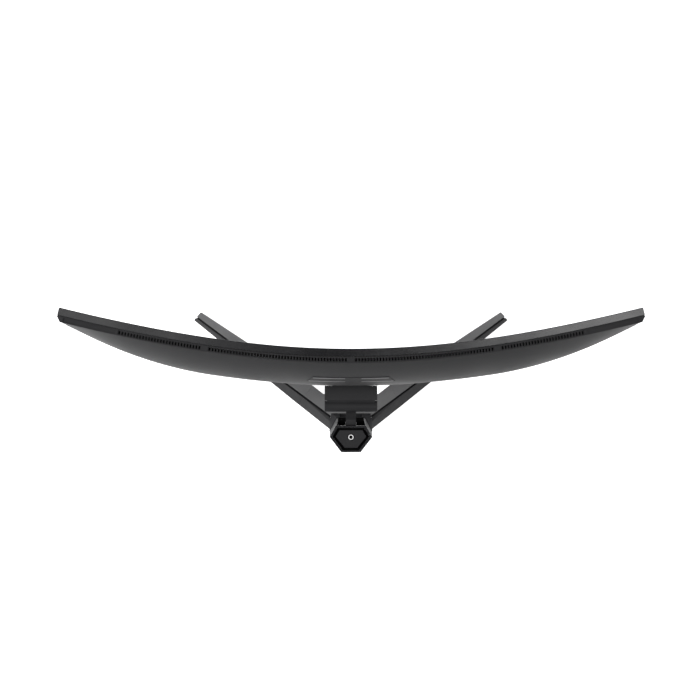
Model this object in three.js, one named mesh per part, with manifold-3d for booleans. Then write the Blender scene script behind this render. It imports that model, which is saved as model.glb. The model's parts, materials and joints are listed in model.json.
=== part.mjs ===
// Curved ultrawide computer monitor on a V-shaped stand, in millimetres.
// +Z is up, the screen faces -Y, and +X is to the right of somebody who faces the screen.
// The origin is under the middle of the whole object.
import * as THREE from 'three';
import { mergeVertices } from 'three/addons/utils/BufferGeometryUtils.js';
import { ConvexGeometry } from 'three/addons/geometries/ConvexGeometry.js';
import Module from 'manifold-3d';

const wasm = await Module();
wasm.setup();

// ---------------------------------------------------------------- driving dimensions
const GAP = 0.3;                 // air between pieces that touch
const FIT = 0.05;                // radial clearance of a shaft in its bore
const ROUND = 24;                // sides of a round shaft and of its bore

// Display: everything in it lies at a distance behind one curved front line.
const HEAD_TOP = 539;
const HEAD_BOTTOM = 175;
const HEAD_HALF = 401.1;         // half width along the front line
const FRONT_Y = -38.4;           // middle of the front line
const CURVE_A = 152.6;           // the front line is a hyperbola: depth of its centre
const CURVE_B = 427;             // and its half width scale
const FRAME_DEPTH = 11;
const FRAME_WALL = 4.6;
const CHIN_TOP = 199;
const EDGE_DEPTH = 19.5;         // thickness of the display along its edge
const BULGE = 31;                // extra thickness of the rear cover in the middle
const BULGE_FLAT = 190;          // half width over which the bulge is full
const BULGE_TAPER = 213;         // width over which it runs out to the side
const TOP_SLOPE = 90;            // height over which it runs out to the top
const BOTTOM_SLOPE = 80;
const COVER_WALL = 2.5;
const VENT = { from: 12.5, to: 19.2, half: 317, pitch: 5.5, slot: 2.6, bridges: [0, 199] };

// Neck and tilt hinge.
const NECK_HALF = 38.25;
const NECK_TOP = 394;
const TILT_Y = 42.5;
const TILT_Z = 386;
const HINGE_HALF = 34.5;         // half length of the hinge's outer sleeves
const KNUCKLE_R = 6.2;
const SHAFT_R = 3.5;
const HOOD_R = 8;
const PLATE_Z = 340;             // middle of the 100 x 100 mm screw pattern
const PLATE_HALF = 57;

// Column.
const COLUMN_TOP = 395;
const COLUMN_FOOT = 36;
const COLUMN_Y = 87;             // swivel axis
const ARM_HALF = 7.25;
const ARM_TOP = 372;             // heights between which the arm passes through the column's slot
const ARM_BOTTOM = 340;
const TRAVEL = 100;              // height adjustment, down from the top
const DRUM = { y: 86, z: 374, r: 9, half: 12 };
const AXLE_R = 2;
const PIN_R = 8;                 // the pin that the column turns on

// Base.
const HUB_TOP = 17;
const LEG_TOP = 16;
const BASE_BOTTOM = 2.3;

// Controls and sockets, each in a straight local frame square to the curved display.
const CONTROL_X = 300;
const BOARD_X = 130;
const POCKET = { half: 52, front: 24, bottom: 208, top: 258 };

// ---------------------------------------------------------------- materials
const FINISH = {
  plastic: [0x2e2e2f, 0.62, 0.0],
  plasticDark: [0x1d1d1e, 0.7, 0.0],
  plasticSmooth: [0x262627, 0.45, 0.0],
  legs: [0x4a4a4b, 0.5, 0.35],
  screen: [0x08090b, 0.25, 0.0],
  film: [0xd8dadc, 0.5, 0.0],
  steel: [0x9a9c9e, 0.4, 0.9],
  brightSteel: [0xc9cacc, 0.25, 1.0],
  board: [0x1f4a2c, 0.6, 0.1],
  rubber: [0x161616, 0.9, 0.0],
  acetal: [0xe6e4dc, 0.5, 0.0],
  lens: [0xf2f2ee, 0.2, 0.0],
};

const monitor = new THREE.Group();

// ---------------------------------------------------------------- solids and booleans
function solid(geometry) {
  const bare = geometry.clone();
  bare.deleteAttribute('normal');
  bare.deleteAttribute('uv');
  const merged = mergeVertices(bare, 1e-4);
  return new wasm.Manifold(new wasm.Mesh({
    numProp: 3,
    vertProperties: new Float32Array(merged.attributes.position.array),
    triVerts: new Uint32Array(merged.index.array),
  }));
}

function toGeometry(manifold) {
  const mesh = manifold.getMesh();
  const geometry = new THREE.BufferGeometry();
  geometry.setAttribute('position', new THREE.BufferAttribute(mesh.vertProperties, 3));
  geometry.setIndex(new THREE.BufferAttribute(mesh.triVerts, 1));
  geometry.computeVertexNormals();
  return geometry;
}

function join(...solids) {
  return solids.reduce((whole, next) => whole.add(next));
}

function cut(body, ...tools) {
  return tools.reduce((rest, tool) => rest.subtract(tool), body);
}

function piece(name, body, finish, frame = null) {
  const [color, roughness, metalness] = FINISH[finish];
  const material = new THREE.MeshStandardMaterial({ color, roughness, metalness });
  const mesh = new THREE.Mesh(toGeometry(body), material);
  mesh.name = name;
  if (frame) mesh.applyMatrix4(frame);
  monitor.add(mesh);
}

// ---------------------------------------------------------------- plain shapes
function box(x0, x1, y0, y1, z0, z1) {
  const geometry = new THREE.BoxGeometry(x1 - x0, y1 - y0, z1 - z0);
  geometry.translate((x0 + x1) / 2, (y0 + y1) / 2, (z0 + z1) / 2);
  return solid(geometry);
}

// A round bar along 'x', 'y' or 'z' from a to b, with its axis through the other two coordinates.
function bar(axis, radius, a, b, c1, c2, sides = ROUND) {
  const geometry = new THREE.CylinderGeometry(radius, radius, b - a, sides);
  const middle = (a + b) / 2;
  if (axis === 'x') geometry.rotateZ(-Math.PI / 2).translate(middle, c1, c2);
  if (axis === 'y') geometry.translate(c1, middle, c2);
  if (axis === 'z') geometry.rotateX(Math.PI / 2).translate(c1, c2, middle);
  return solid(geometry);
}

// A bore for a shaft of that radius: its flats stay clear of the shaft's corners as it turns.
function bore(axis, radius, a, b, c1, c2, sides = ROUND) {
  return bar(axis, (radius + FIT) / Math.cos(Math.PI / sides), a, b, c1, c2, sides);
}

function outline(points) {
  return new THREE.Shape(points.map(([u, v]) => new THREE.Vector2(u, v)));
}

// An outline in X and Y, raised from z0 to z1.
function prism(points, z0, z1) {
  const geometry = new THREE.ExtrudeGeometry(outline(points), { depth: z1 - z0, bevelEnabled: false });
  return solid(geometry.translate(0, 0, z0));
}

// An outline in Y and Z, run along X from x0 to x1.
function prismAlongX(points, x0, x1) {
  const geometry = new THREE.ExtrudeGeometry(outline(points), { depth: x1 - x0, bevelEnabled: false });
  const toYz = new THREE.Matrix4().set(0, 0, 1, x0, 1, 0, 0, 0, 0, 1, 0, 0, 0, 0, 0, 1);
  return solid(geometry.applyMatrix4(toYz));
}

function hull(points) {
  return solid(new ConvexGeometry(points.map((p) => new THREE.Vector3(...p))));
}

// A solid between a lower and an upper outline with as many corners each.
function loft(lower, z0, upper, z1) {
  return hull([...lower.map(([x, y]) => [x, y, z0]), ...upper.map(([x, y]) => [x, y, z1])]);
}

function mirrorX(points) {
  return points.map(([x, ...rest]) => [-x, ...rest]).reverse();
}

function arc(cy, cz, radius, fromDegrees, toDegrees, steps) {
  const points = [];
  for (let i = 0; i <= steps; i += 1) {
    const angle = THREE.MathUtils.degToRad(fromDegrees + (toDegrees - fromDegrees) * i / steps);
    points.push([cy + radius * Math.cos(angle), cz + radius * Math.sin(angle)]);
  }
  return points;
}

// ---------------------------------------------------------------- the curved display
function frontLine(x) {
  return FRONT_Y - CURVE_A * (Math.sqrt(1 + (x / CURVE_B) ** 2) - 1);
}

function frontSlope(x) {
  return -CURVE_A * x / (CURVE_B ** 2 * Math.sqrt(1 + (x / CURVE_B) ** 2));
}

// The point a given distance behind the front line, measured square to it.
function behind(x, distance) {
  const slope = frontSlope(x);
  const length = Math.hypot(1, slope);
  return [x - slope * distance / length, frontLine(x) + distance / length];
}

// Local frame: its X runs along the display, its Y straight back out of it.
function displayFrame(x) {
  const [px, py] = behind(x, 0);
  return new THREE.Matrix4().makeRotationZ(Math.atan(frontSlope(x))).setPosition(px, py, 0);
}

// A block over a grid of stations in x and z, bent round the display.
function bentBlock(xs, zs, front, rear) {
  const nx = xs.length - 1;
  const nz = zs.length - 1;
  const geometry = new THREE.BoxGeometry(1, 1, 1, nx, 1, nz);
  const position = geometry.attributes.position;
  for (let i = 0; i < position.count; i += 1) {
    const x = xs[Math.round((position.getX(i) + 0.5) * nx)];
    const z = zs[Math.round((position.getZ(i) + 0.5) * nz)];
    const distance = position.getY(i) < 0 ? front : rear(x, z);
    position.setXYZ(i, ...behind(x, distance), z);
  }
  return solid(geometry);
}

function stations(from, to, count) {
  return Array.from({ length: count + 1 }, (_, i) => from + (to - from) * i / count);
}

function slab(x0, x1, d0, d1, z0, z1, count = 20) {
  return bentBlock(stations(x0, x1, count), [z0, z1], d0, () => d1);
}

function runOut(share) {
  return share >= 1 ? 1 : 1 - (1 - Math.max(share, 0)) ** 2.2;
}

// Thickness of the display at x and z: full in the middle, running out to every edge.
function rearDepth(x, z) {
  const side = Math.max(0, Math.abs(x) - BULGE_FLAT) / BULGE_TAPER;
  const top = runOut((HEAD_TOP - 1 - z) / TOP_SLOPE);
  const bottom = runOut((z - HEAD_BOTTOM - 1) / BOTTOM_SLOPE);
  const full = EDGE_DEPTH + BULGE * (1 - side ** 2) * top * bottom;
  const chamfer = FRAME_DEPTH + 1.5 + 1.3 * Math.max(0, HEAD_HALF - Math.abs(x));
  return Math.min(full, chamfer);
}

// The rear cover's shape, drawn in by an inset on every side but the front.
function coverShape(inset) {
  const half = HEAD_HALF - inset;
  const right = [0, 40, 80, 120, 160, 190, 218, 246, 274, 302, 330, 358, 380, 394.5].concat(half);
  const xs = [...right.slice(1).reverse().map((x) => -x), ...right];
  const low = HEAD_BOTTOM + 1 + inset;
  const high = HEAD_TOP - 1 - inset;
  const zs = [low, 184, 194, 206, 220, 236, 256, 350, 448, 466, 482, 497, 511, 524, high];
  const front = FRAME_DEPTH + 0.5 - (inset > 0 ? 2 : 0);
  return bentBlock(xs, zs, front, (x, z) => rearDepth(x, z) - inset);
}

function middleFrame() {
  const ring = slab(-HEAD_HALF, HEAD_HALF, 0, FRAME_DEPTH, HEAD_BOTTOM, HEAD_TOP, 28);
  const half = HEAD_HALF - FRAME_WALL;
  const low = HEAD_BOTTOM + FRAME_WALL;
  const high = HEAD_TOP - FRAME_WALL;
  return cut(ring, slab(-half, half, -2, FRAME_DEPTH + 2, low, high, 28));
}

// Layers behind the front line: where each starts and ends, and its finish.
const LAYERS = {
  lcd_panel: [1.2, 2.8, 'screen'],
  optical_films: [3.1, 4.1, 'film'],
  light_guide: [4.4, 7.4, 'lens'],
  reflector_sheet: [7.7, 8.2, 'film'],
};
const LIGHT = { z: 188, r: 1.3 };

function panelStack() {
  const half = HEAD_HALF - FRAME_WALL - GAP;
  const low = CHIN_TOP + GAP;
  const high = HEAD_TOP - FRAME_WALL - GAP;
  for (const [name, [front, rear, finish]] of Object.entries(LAYERS)) {
    piece(name, slab(-half, half, front, rear, low, high), finish);
  }
  const bottom = HEAD_BOTTOM + FRAME_WALL + GAP;
  piece('panel_tray', slab(-half, half, 8.5, 9.5, bottom, high), 'steel');
  const chin = slab(-half, half, 0, 3.8, bottom, CHIN_TOP);
  const lightHole = bar('y', LIGHT.r + GAP, FRONT_Y - 2, FRONT_Y + 6, 0, LIGHT.z, 16);
  piece('lower_bezel', cut(chin, lightHole), 'plasticSmooth');
  piece('power_light', bar('y', LIGHT.r, FRONT_Y + 0.2, FRONT_Y + 7, 0, LIGHT.z, 16), 'lens');
  piece('led_strip', ledStrip(half), 'film');
}

// The strip of lamps that shines up into the light guide's lower edge.
function ledStrip(half) {
  const strip = slab(-half, half, 4.4, 7.4, 196.3, 197.2);
  const places = stations(-half + 20, half - 20, 30);
  return join(strip, ...places.map((x) => slab(x - 3, x + 3, 4.9, 6.9, 197, 198.7, 1)));
}

// Slots for the warm air in the top edge, with bridges left between them.
function ventGrille() {
  const strip = slab(-VENT.half, VENT.half, VENT.from - 0.7, VENT.to + 0.6, 533.2, 535.2, 24);
  const slots = [];
  for (let x = VENT.pitch; x < VENT.half - 4; x += VENT.pitch) {
    const nearBridge = VENT.bridges.some((bridge) => Math.abs(x - bridge) < 5.4);
    if (!nearBridge) slots.push(ventSlot(x), ventSlot(-x));
  }
  return cut(strip, join(...slots)).intersect(coverShape(COVER_WALL + 0.4));
}

function ventSlot(x) {
  const half = VENT.slot / 2;
  return slab(x - half, x + half, VENT.from + 0.8, VENT.to - 0.8, 530, 537, 1);
}

function ventOpenings() {
  const edges = [[5, 194], [204, VENT.half]];
  const both = edges.flatMap(([a, b]) => [[a, b], [-b, -a]]);
  return both.map(([a, b]) => slab(a, b, VENT.from, VENT.to, 534, HEAD_TOP + 1, 12));
}

function rearCover() {
  const shell = cut(coverShape(0), coverShape(COVER_WALL));
  const groove = [1, -1].map((side) => {
    const ends = [side * (VENT.half + 4), side * (HEAD_HALF - 9)].sort((a, b) => a - b);
    return slab(...ends, VENT.from, VENT.to, HEAD_TOP - 2, HEAD_TOP + 1, 5);
  });
  const opening = PLATE_HALF + 1;
  const stand = box(-opening, opening, 0, 40, PLATE_Z - opening, PLATE_Z + opening);
  const pockets = [BOARD_X, -BOARD_X].map((x) => pocketSpace(0).transform(displayFrame(x).elements));
  const control = box(-11.5, 11.5, 30, 60, 245.5, 334.5).transform(displayFrame(CONTROL_X).elements);
  return cut(shell, ...ventOpenings(), ...groove, stand, ...pockets, control);
}

// ---------------------------------------------------------------- boards, sockets and speakers
function pocketSpace(inset) {
  const half = POCKET.half - inset;
  return box(-half, half, POCKET.front + inset, 70, POCKET.bottom + inset, POCKET.top - inset);
}

// The tray that lines a socket recess, trimmed to the cover's outer surface.
function socketTray(x, holes) {
  const { half, front, bottom, top } = POCKET;
  const outside = box(-half + GAP, half - GAP, front, 49, bottom + GAP, top - GAP);
  const tray = cut(outside, pocketSpace(1.6), ...holes).transform(displayFrame(x).elements);
  return tray.intersect(coverShape(0.2));
}

const SOCKET = { front: 31.9, rear: 37.9, low: 253, high: 268 };
const VIDEO_SOCKETS = { video_socket_left: 8, video_socket_right: -20 };
const AUDIO_SOCKET = 32;
const INLET = { half: 14, front: 27, rear: 46, low: 244, high: 262 };

function socketHole(u, half) {
  return box(u - half - 0.5, u + half + 0.5, SOCKET.front - 0.5, SOCKET.rear + 0.5, 250, 270);
}

function videoSocket(u) {
  const { front, rear, low, high } = SOCKET;
  const shell = box(u - 7.5, u + 7.5, front, rear, low, high);
  const mouth = box(u - 6.9, u + 6.9, front + 0.6, rear - 0.6, low - 1, high - 4);
  const tongue = box(u - 5.5, u + 5.5, front + 2.2, rear - 2.2, low + 1, high - 1);
  return join(cut(shell, mouth), tongue);
}

function audioSocket() {
  const { front, rear, low, high } = SOCKET;
  const block = box(AUDIO_SOCKET - 4, AUDIO_SOCKET + 4, front, rear, low, high);
  return cut(block, bar('z', 1.8, low - 1, high - 3, AUDIO_SOCKET, (front + rear) / 2, 16));
}

function mainsInlet() {
  const { half, front, rear, low, high } = INLET;
  const shell = box(-half, half, front, rear, low, high);
  const mouth = box(-half + 1.8, half - 1.8, front + 1.8, rear - 1.8, low - 1, high - 3);
  const middle = (front + rear) / 2;
  const pins = [-7, 0, 7].map((u) => box(u - 1, u + 1, middle - 4.5, middle - 0.5, low + 3, high - 2));
  return join(cut(shell, mouth), ...pins);
}

function mainBoard() {
  const chips = [[-30, 300, 9], [5, 318, 14], [34, 296, 7], [-20, 345, 6], [28, 350, 8]];
  const board = box(-50, 50, 30, 31.6, 259, 372);
  return join(board, ...chips.map(([u, z, half]) => box(u - half, u + half, 31.5, 33.4, z - half, z + half)));
}

function powerBoard() {
  const board = box(-50, 50, 24, 25.6, 264, 372);
  const transformer = box(-10, 24, 25.5, 42, 320, 352);
  const choke = box(-40, -22, 25.5, 38, 322, 340);
  const capacitors = [-38, -20, 34].map((u) => bar('y', 6, 25.5, 44, u, 290, 16));
  return join(board, transformer, choke, ...capacitors);
}

function boards() {
  const signalSide = displayFrame(BOARD_X);
  const powerSide = displayFrame(-BOARD_X);
  piece('main_board', mainBoard(), 'board', signalSide);
  for (const [name, u] of Object.entries(VIDEO_SOCKETS)) {
    piece(name, videoSocket(u), 'steel', signalSide);
  }
  piece('audio_socket', audioSocket(), 'plasticDark', signalSide);
  piece('power_board', powerBoard(), 'board', powerSide);
  piece('mains_inlet', mainsInlet(), 'plasticDark', powerSide);
  const videoHoles = Object.values(VIDEO_SOCKETS).map((u) => socketHole(u, 7.5));
  const signalTray = socketTray(BOARD_X, [...videoHoles, socketHole(AUDIO_SOCKET, 4)]);
  piece('socket_tray_signal', signalTray, 'plasticDark');
  const { half, front, rear } = INLET;
  const inletHole = box(-half - 0.5, half + 0.5, front - 0.5, rear + 0.5, 250, 270);
  piece('socket_tray_power', socketTray(-BOARD_X, [inletHole]), 'plasticDark');
  const ribbon = join(box(-18, 18, 13.2, 13.6, 234, 268), box(-18, 18, 13.2, 29.6, 260.6, 261));
  piece('panel_ribbon', ribbon, 'film', signalSide);
}

function speaker() {
  const enclosure = box(-35, 35, 12, 23, 188, 206);
  const ring = bar('z', 5, 186.6, 188.5, 0, 17.5, 20);
  const dish = bar('z', 4, 186, 187.6, 0, 17.5, 20);
  return join(enclosure, cut(ring, dish));
}

// ---------------------------------------------------------------- controls
const BUTTON_Z = { menu_button_up: 298, menu_button_down: 285, menu_button_back: 272, power_button: 257 };
const STICK_Z = 318;
const STICK_R = 1.9;

function controlPanel() {
  const plate = box(-11.2, 11.2, 36, 39.6, 246, 334);
  const faces = Object.values(BUTTON_Z).map((z) => box(-5, 5, 30, 45, z - 4, z + 4));
  return cut(plate, bar('y', 7.2, 30, 45, 0, STICK_Z), join(...faces));
}

function buttonCap(z) {
  const cap = box(-4.6, 4.6, 34, 41.2, z - 3.6, z + 3.6);
  const flange = box(-5.8, 5.8, 33.4, 35.4, z - 4.8, z + 4.8);
  return join(cap, flange, bar('y', 1.5, 31.6, 34, 0, z, 12));
}

function controlBoard() {
  const board = box(-10, 10, 27, 28.6, 248, 332);
  return join(board, ...Object.values(BUTTON_Z).map((z) => box(-3, 3, 28.5, 30.4, z - 3, z + 3)));
}

// A stick on a pivot in a gimbal ring, behind the plate's round hole.
function joystick(frame) {
  const gimbal = cut(bar('y', 7.6, 32, 34, 0, STICK_Z), bar('y', 5.2, 31, 35, 0, STICK_Z));
  piece('joystick_gimbal', gimbal, 'plasticDark', frame);
  const pivot = cut(bar('y', 4.8, 31.6, 34.4, 0, STICK_Z), bore('y', STICK_R, 31, 35, 0, STICK_Z));
  piece('joystick_pivot', pivot, 'steel', frame);
  const knob = join(bar('y', 4.8, 38, 43.4, 0, STICK_Z), bar('y', STICK_R, 30.8, 39, 0, STICK_Z));
  piece('joystick_cap', knob, 'rubber', frame);
}

function controls() {
  const frame = displayFrame(CONTROL_X);
  piece('control_panel', controlPanel(), 'plasticDark', frame);
  for (const [name, z] of Object.entries(BUTTON_Z)) piece(name, buttonCap(z), 'plasticSmooth', frame);
  piece('control_board', controlBoard(), 'board', frame);
  joystick(frame);
}

// ---------------------------------------------------------------- stand plate and tilt hinge
function plateCorners() {
  return [[-50, PLATE_Z - 50], [50, PLATE_Z - 50], [50, PLATE_Z + 50], [-50, PLATE_Z + 50]];
}

function standPlates() {
  const holes = plateCorners().map(([x, z]) => bar('y', 2.3, -40, 20, x, z, 16));
  const posts = plateCorners().map(([x, z]) => bar('y', 5, -28, 2.5, x, z, 16));
  const wall = box(-PLATE_HALF + 1, PLATE_HALF - 1, 2, 4.5, PLATE_Z - 56, PLATE_Z + 56);
  piece('wall_mount_bracket', cut(join(wall, ...posts), ...holes), 'steel');
  const plate = box(-PLATE_HALF, PLATE_HALF, 4.8, 9, PLATE_Z - PLATE_HALF, PLATE_Z + PLATE_HALF);
  piece('stand_plate', cut(plate, ...holes), 'plastic');
}

function tiltBracket() {
  const base = box(-34, 34, 9.3, 11.8, 345, 388);
  const side = [
    [11.5, 350], [30, 366], ...arc(TILT_Y, TILT_Z, KNUCKLE_R, -75, 160, 12), [33, 387.4], [11.5, 387]];
  const ears = [20.3, -23.3].map((x) => prismAlongX(side, x, x + 3));
  const sleeves = [[23, HINGE_HALF], [-HINGE_HALF, -23]].map(([a, b]) =>
    bar('x', KNUCKLE_R, a, b, TILT_Y, TILT_Z));
  return cut(join(base, ...ears, ...sleeves), bore('x', SHAFT_R, -40, 40, TILT_Y, TILT_Z));
}

// The box round the hinge, with a hood over the barrel.
function hingeCover() {
  const body = box(-NECK_HALF, NECK_HALF, 12.1, 33.4, 330, NECK_TOP);
  const hollow = box(-NECK_HALF + 2.5, NECK_HALF - 2.5, 11, 30.9, 332.5, NECK_TOP - 2.2);
  const rearHole = box(-NECK_HALF + 2.5, NECK_HALF - 2.5, 30, 40, 364, NECK_TOP - 2.2);
  const hood = [
    ...arc(TILT_Y, TILT_Z, HOOD_R, 18, 138, 12), [33, NECK_TOP - 1.4], [33, 388.6],
    ...arc(TILT_Y, TILT_Z, KNUCKLE_R + GAP, 156, 18, 12)];
  const ends = [[34.9, NECK_HALF], [-NECK_HALF, -34.9]].map(([a, b]) =>
    bar('x', HOOD_R, a, b, TILT_Y, TILT_Z));
  return join(cut(body, hollow, rearHole), prismAlongX(hood, -35, 35), ...ends);
}

function frictionWasher(a, b) {
  const disc = bar('x', KNUCKLE_R, a, b, TILT_Y, TILT_Z);
  return cut(disc, bore('x', SHAFT_R, a - 1, b + 1, TILT_Y, TILT_Z));
}

function hingeParts() {
  piece('tilt_bracket', tiltBracket(), 'steel');
  piece('hinge_cover', hingeCover(), 'plastic');
  piece('tilt_shaft', bar('x', SHAFT_R, 0.1 - HINGE_HALF, HINGE_HALF - 0.1, TILT_Y, TILT_Z), 'brightSteel');
  piece('friction_washer', frictionWasher(18.3, 20), 'brightSteel');
}

// ---------------------------------------------------------------- carriage
function liftArm() {
  const web = [
    [40.2, 382], [40.2, 356], [62, ARM_BOTTOM], [75.6, ARM_BOTTOM], [75.6, ARM_TOP], [62, ARM_TOP],
    ...arc(TILT_Y, TILT_Z, KNUCKLE_R, -35, -60, 2)];
  const barrel = bar('x', KNUCKLE_R, -20, 18, TILT_Y, TILT_Z);
  const body = join(prismAlongX(web, -ARM_HALF, ARM_HALF), barrel);
  return cut(body, bore('x', SHAFT_R, -40, 40, TILT_Y, TILT_Z));
}

function carriage() {
  piece('lift_arm', liftArm(), 'plasticDark');
  piece('carriage_block', box(-15, 15, 76, 92, 302, 361), 'steel');
  piece('guide_pad', box(-13.6, 13.6, 92.3, 99.1, 304, 359), 'acetal');
  piece('lift_band', box(-10, 10, 95.3, 95.6, 361.5, DRUM.z), 'brightSteel');
}

// ---------------------------------------------------------------- column
const COLUMN_SECTION = [[21.95, 70], [31, 86.7], [14.2, 108.8]];
const FOOT_SECTION = [[23.4, 64], [35, 86.7], [15.4, 110]];

function bothSides(right) {
  return [...right, ...mirrorX(right)];
}

// The column's six-sided section at a height, drawn in by an inset.
function columnSection(z, inset = 0) {
  const share = (COLUMN_TOP - z) / COLUMN_TOP;
  const corner = COLUMN_SECTION.map(([x, y], i) => {
    const [fx, fy] = FOOT_SECTION[i];
    return [x + (fx - x) * share, y + (fy - y) * share];
  });
  const [front, side, rear] = corner;
  return bothSides([
    [front[0] - inset * 0.55, front[1] + inset],
    [side[0] - inset * 1.15, side[1]],
    [rear[0] - inset * 0.62, rear[1] - inset]]);
}

function columnBlock(z0, z1, inset = 0) {
  return loft(columnSection(z0, inset), z0, columnSection(z1, inset), z1);
}

function columnShell() {
  const low = COLUMN_FOOT + GAP;
  const high = COLUMN_TOP - 6.8;
  const tube = cut(columnBlock(low, high), columnBlock(low - 5, high + 5, 3));
  const slotBottom = ARM_BOTTOM - TRAVEL - 6;
  return cut(tube, box(-ARM_HALF - 0.75, ARM_HALF + 0.75, 50, 80, slotBottom, ARM_TOP + 6));
}

const CAP_POCKET = bothSides([[19.2, 73.6], [26.6, 86.2], [11.4, 105.8]]);
const CAP_PLATE = bothSides([[17.6, 76.2], [23.4, 86], [9.6, 103.4]]);

function columnTop() {
  const high = COLUMN_TOP - 6.5;
  const pocket = prism(CAP_POCKET, COLUMN_TOP - 3.2, COLUMN_TOP + 1);
  const hole = bar('z', 5.3, high - 1, COLUMN_TOP + 1, 0, COLUMN_Y);
  piece('column_cap', cut(columnBlock(high, COLUMN_TOP), pocket, hole), 'plasticSmooth');
  const plate = prism(CAP_PLATE, COLUMN_TOP - 2.9, COLUMN_TOP - 0.6);
  piece('cap_plate', cut(plate, bar('z', 4.9, 380, 400, 0, COLUMN_Y)), 'plastic');
  const insert = bar('z', 4.6, high - 2, COLUMN_TOP - 0.4, 0, COLUMN_Y);
  const thread = bar('z', 3.2, high - 3, COLUMN_TOP + 5, 0, COLUMN_Y);
  piece('tripod_insert', cut(insert, thread), 'brightSteel');
}

function columnFoot() {
  const lower = bothSides([[32.6, 57.4], [35.4, 69.8], [35.1, 86.5], [17, 110]]);
  const upper = columnSection(COLUMN_FOOT, -0.8);
  const skirt = join(loft(lower, 18.6, lower, 22), loft(lower, 22, upper, COLUMN_FOOT));
  const spigot = columnBlock(COLUMN_FOOT - 1, COLUMN_FOOT + 22, 3.6);
  const front = box(-18.4, 18.4, 50, 63.4, 21.5, 60);
  return cut(join(skirt, spigot), front, bore('z', PIN_R, 10, 80, 0, COLUMN_Y));
}

function springDrum() {
  const { y, z, r, half } = DRUM;
  const core = bar('x', r - 1.2, -half, half, y, z);
  const coil = bar('x', r, 1.5 - half, half - 1.5, y, z);
  return cut(join(core, coil), bore('x', AXLE_R, -half - 1, half + 1, y, z, 16));
}

function column() {
  piece('column_shell', columnShell(), 'plasticSmooth');
  columnTop();
  piece('column_foot', columnFoot(), 'plastic');
  const web = box(-15.5, 15.5, 99.5, 101, 62, 384);
  const flanges = [[-15.5, -14], [14, 15.5]].map(([a, b]) => box(a, b, 93.5, 100, 62, 384));
  piece('column_rail', join(web, ...flanges), 'steel');
  piece('spring_drum', springDrum(), 'acetal');
  const cheeks = [[12.8, 14.4], [-14.4, -12.8]].map(([a, b]) => box(a, b, 80, 91, 366, 386));
  const axle = bar('x', AXLE_R, -16, 16, DRUM.y, DRUM.z, 16);
  const bracket = join(...cheeks, box(-14.4, 14.4, 80, 81.2, 384, 386), axle);
  piece('drum_bracket', bracket, 'steel');
}

// ---------------------------------------------------------------- base
// Plan of the right leg: the inner edge, the ridge along its top and the outer edge.
const LEG = {
  tipInner: [251, -112], tipRidge: [258.5, -103.5], tipOuter: [263, -98.5],
  hubInner: [63.5, 11.3], hubRidge: [77.8, 30.4], hubOuter: [87.3, 43],
};
const RIDGE_END = [33.8, 63];
const REAR_CORNER = [1.5, 112];

function shift([x, y], dx, dy) {
  return [x + dx, y + dy];
}

function leg(side) {
  const [dx, dy] = [0.8 * GAP, -0.6 * GAP];
  const plan = [LEG.tipInner, LEG.tipRidge, shift(LEG.hubRidge, dx, dy), shift(LEG.hubInner, dx, dy)];
  const place = ([x, y], z) => [side * x, y, z];
  const inset = ([x, y]) => [x - 0.3, y - 0.4];
  const heights = [LEG_TOP - 3, LEG_TOP - 3, LEG_TOP, LEG_TOP];
  const lower = plan.map((p) => place(inset(p), BASE_BOTTOM));
  const upper = plan.map((p, i) => place(inset(p), heights[i]));
  return hull([...lower, ...upper].map(([x, y, z]) => [x, Math.max(y, LEG.tipInner[1]), z]));
}

// The sloping strip along the leg's outer side.
function legTrim(side) {
  const out = 0.5;
  const [dx, dy] = [0.8 * GAP, -0.6 * GAP];
  const ridge = [LEG.tipRidge, shift(LEG.hubRidge, dx, dy)];
  const nearRidge = ridge.map((point) => shift(point, out * 0.6, out * 0.8));
  const outer = [LEG.tipOuter, shift(LEG.hubOuter, dx, dy)];
  const points = [
    [...nearRidge[0], BASE_BOTTOM], [...nearRidge[1], BASE_BOTTOM],
    [...nearRidge[0], LEG_TOP - 3.8], [...nearRidge[1], LEG_TOP - 0.8],
    [...outer[0], BASE_BOTTOM], [...outer[1], BASE_BOTTOM],
    [...outer[0], 7], [...outer[1], 6]];
  return hull(points.map(([x, y, z]) => [side * x, y, z]));
}

function hubPlan() {
  return bothSides([[20, 32], [46.3, 24.7], LEG.hubInner, LEG.hubOuter, REAR_CORNER]);
}

function baseHub() {
  const body = prism(hubPlan(), BASE_BOTTOM, HUB_TOP);
  const slopes = [1, -1].map((side) => {
    const ridge = [LEG.hubRidge, RIDGE_END, [12, 92]];
    const outer = [shift(LEG.hubOuter, 14, -10), [2, 124]];
    const points = [
      ...ridge.map((p) => [...p, HUB_TOP + 2]), ...outer.map((p) => [...p, HUB_TOP + 2]),
      [...shift(LEG.hubRidge, 8, -6), HUB_TOP - 0.6], [14, 90, HUB_TOP - 0.6],
      ...outer.map((p) => [...p, -2])];
    return hull(points.map(([x, y, z]) => [side * x, y, z]));
  });
  const recess = bar('z', 14, 0, 8, 0, COLUMN_Y);
  return cut(body, ...slopes, recess, bar('z', PIN_R + GAP, 0, 30, 0, COLUMN_Y));
}

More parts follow.
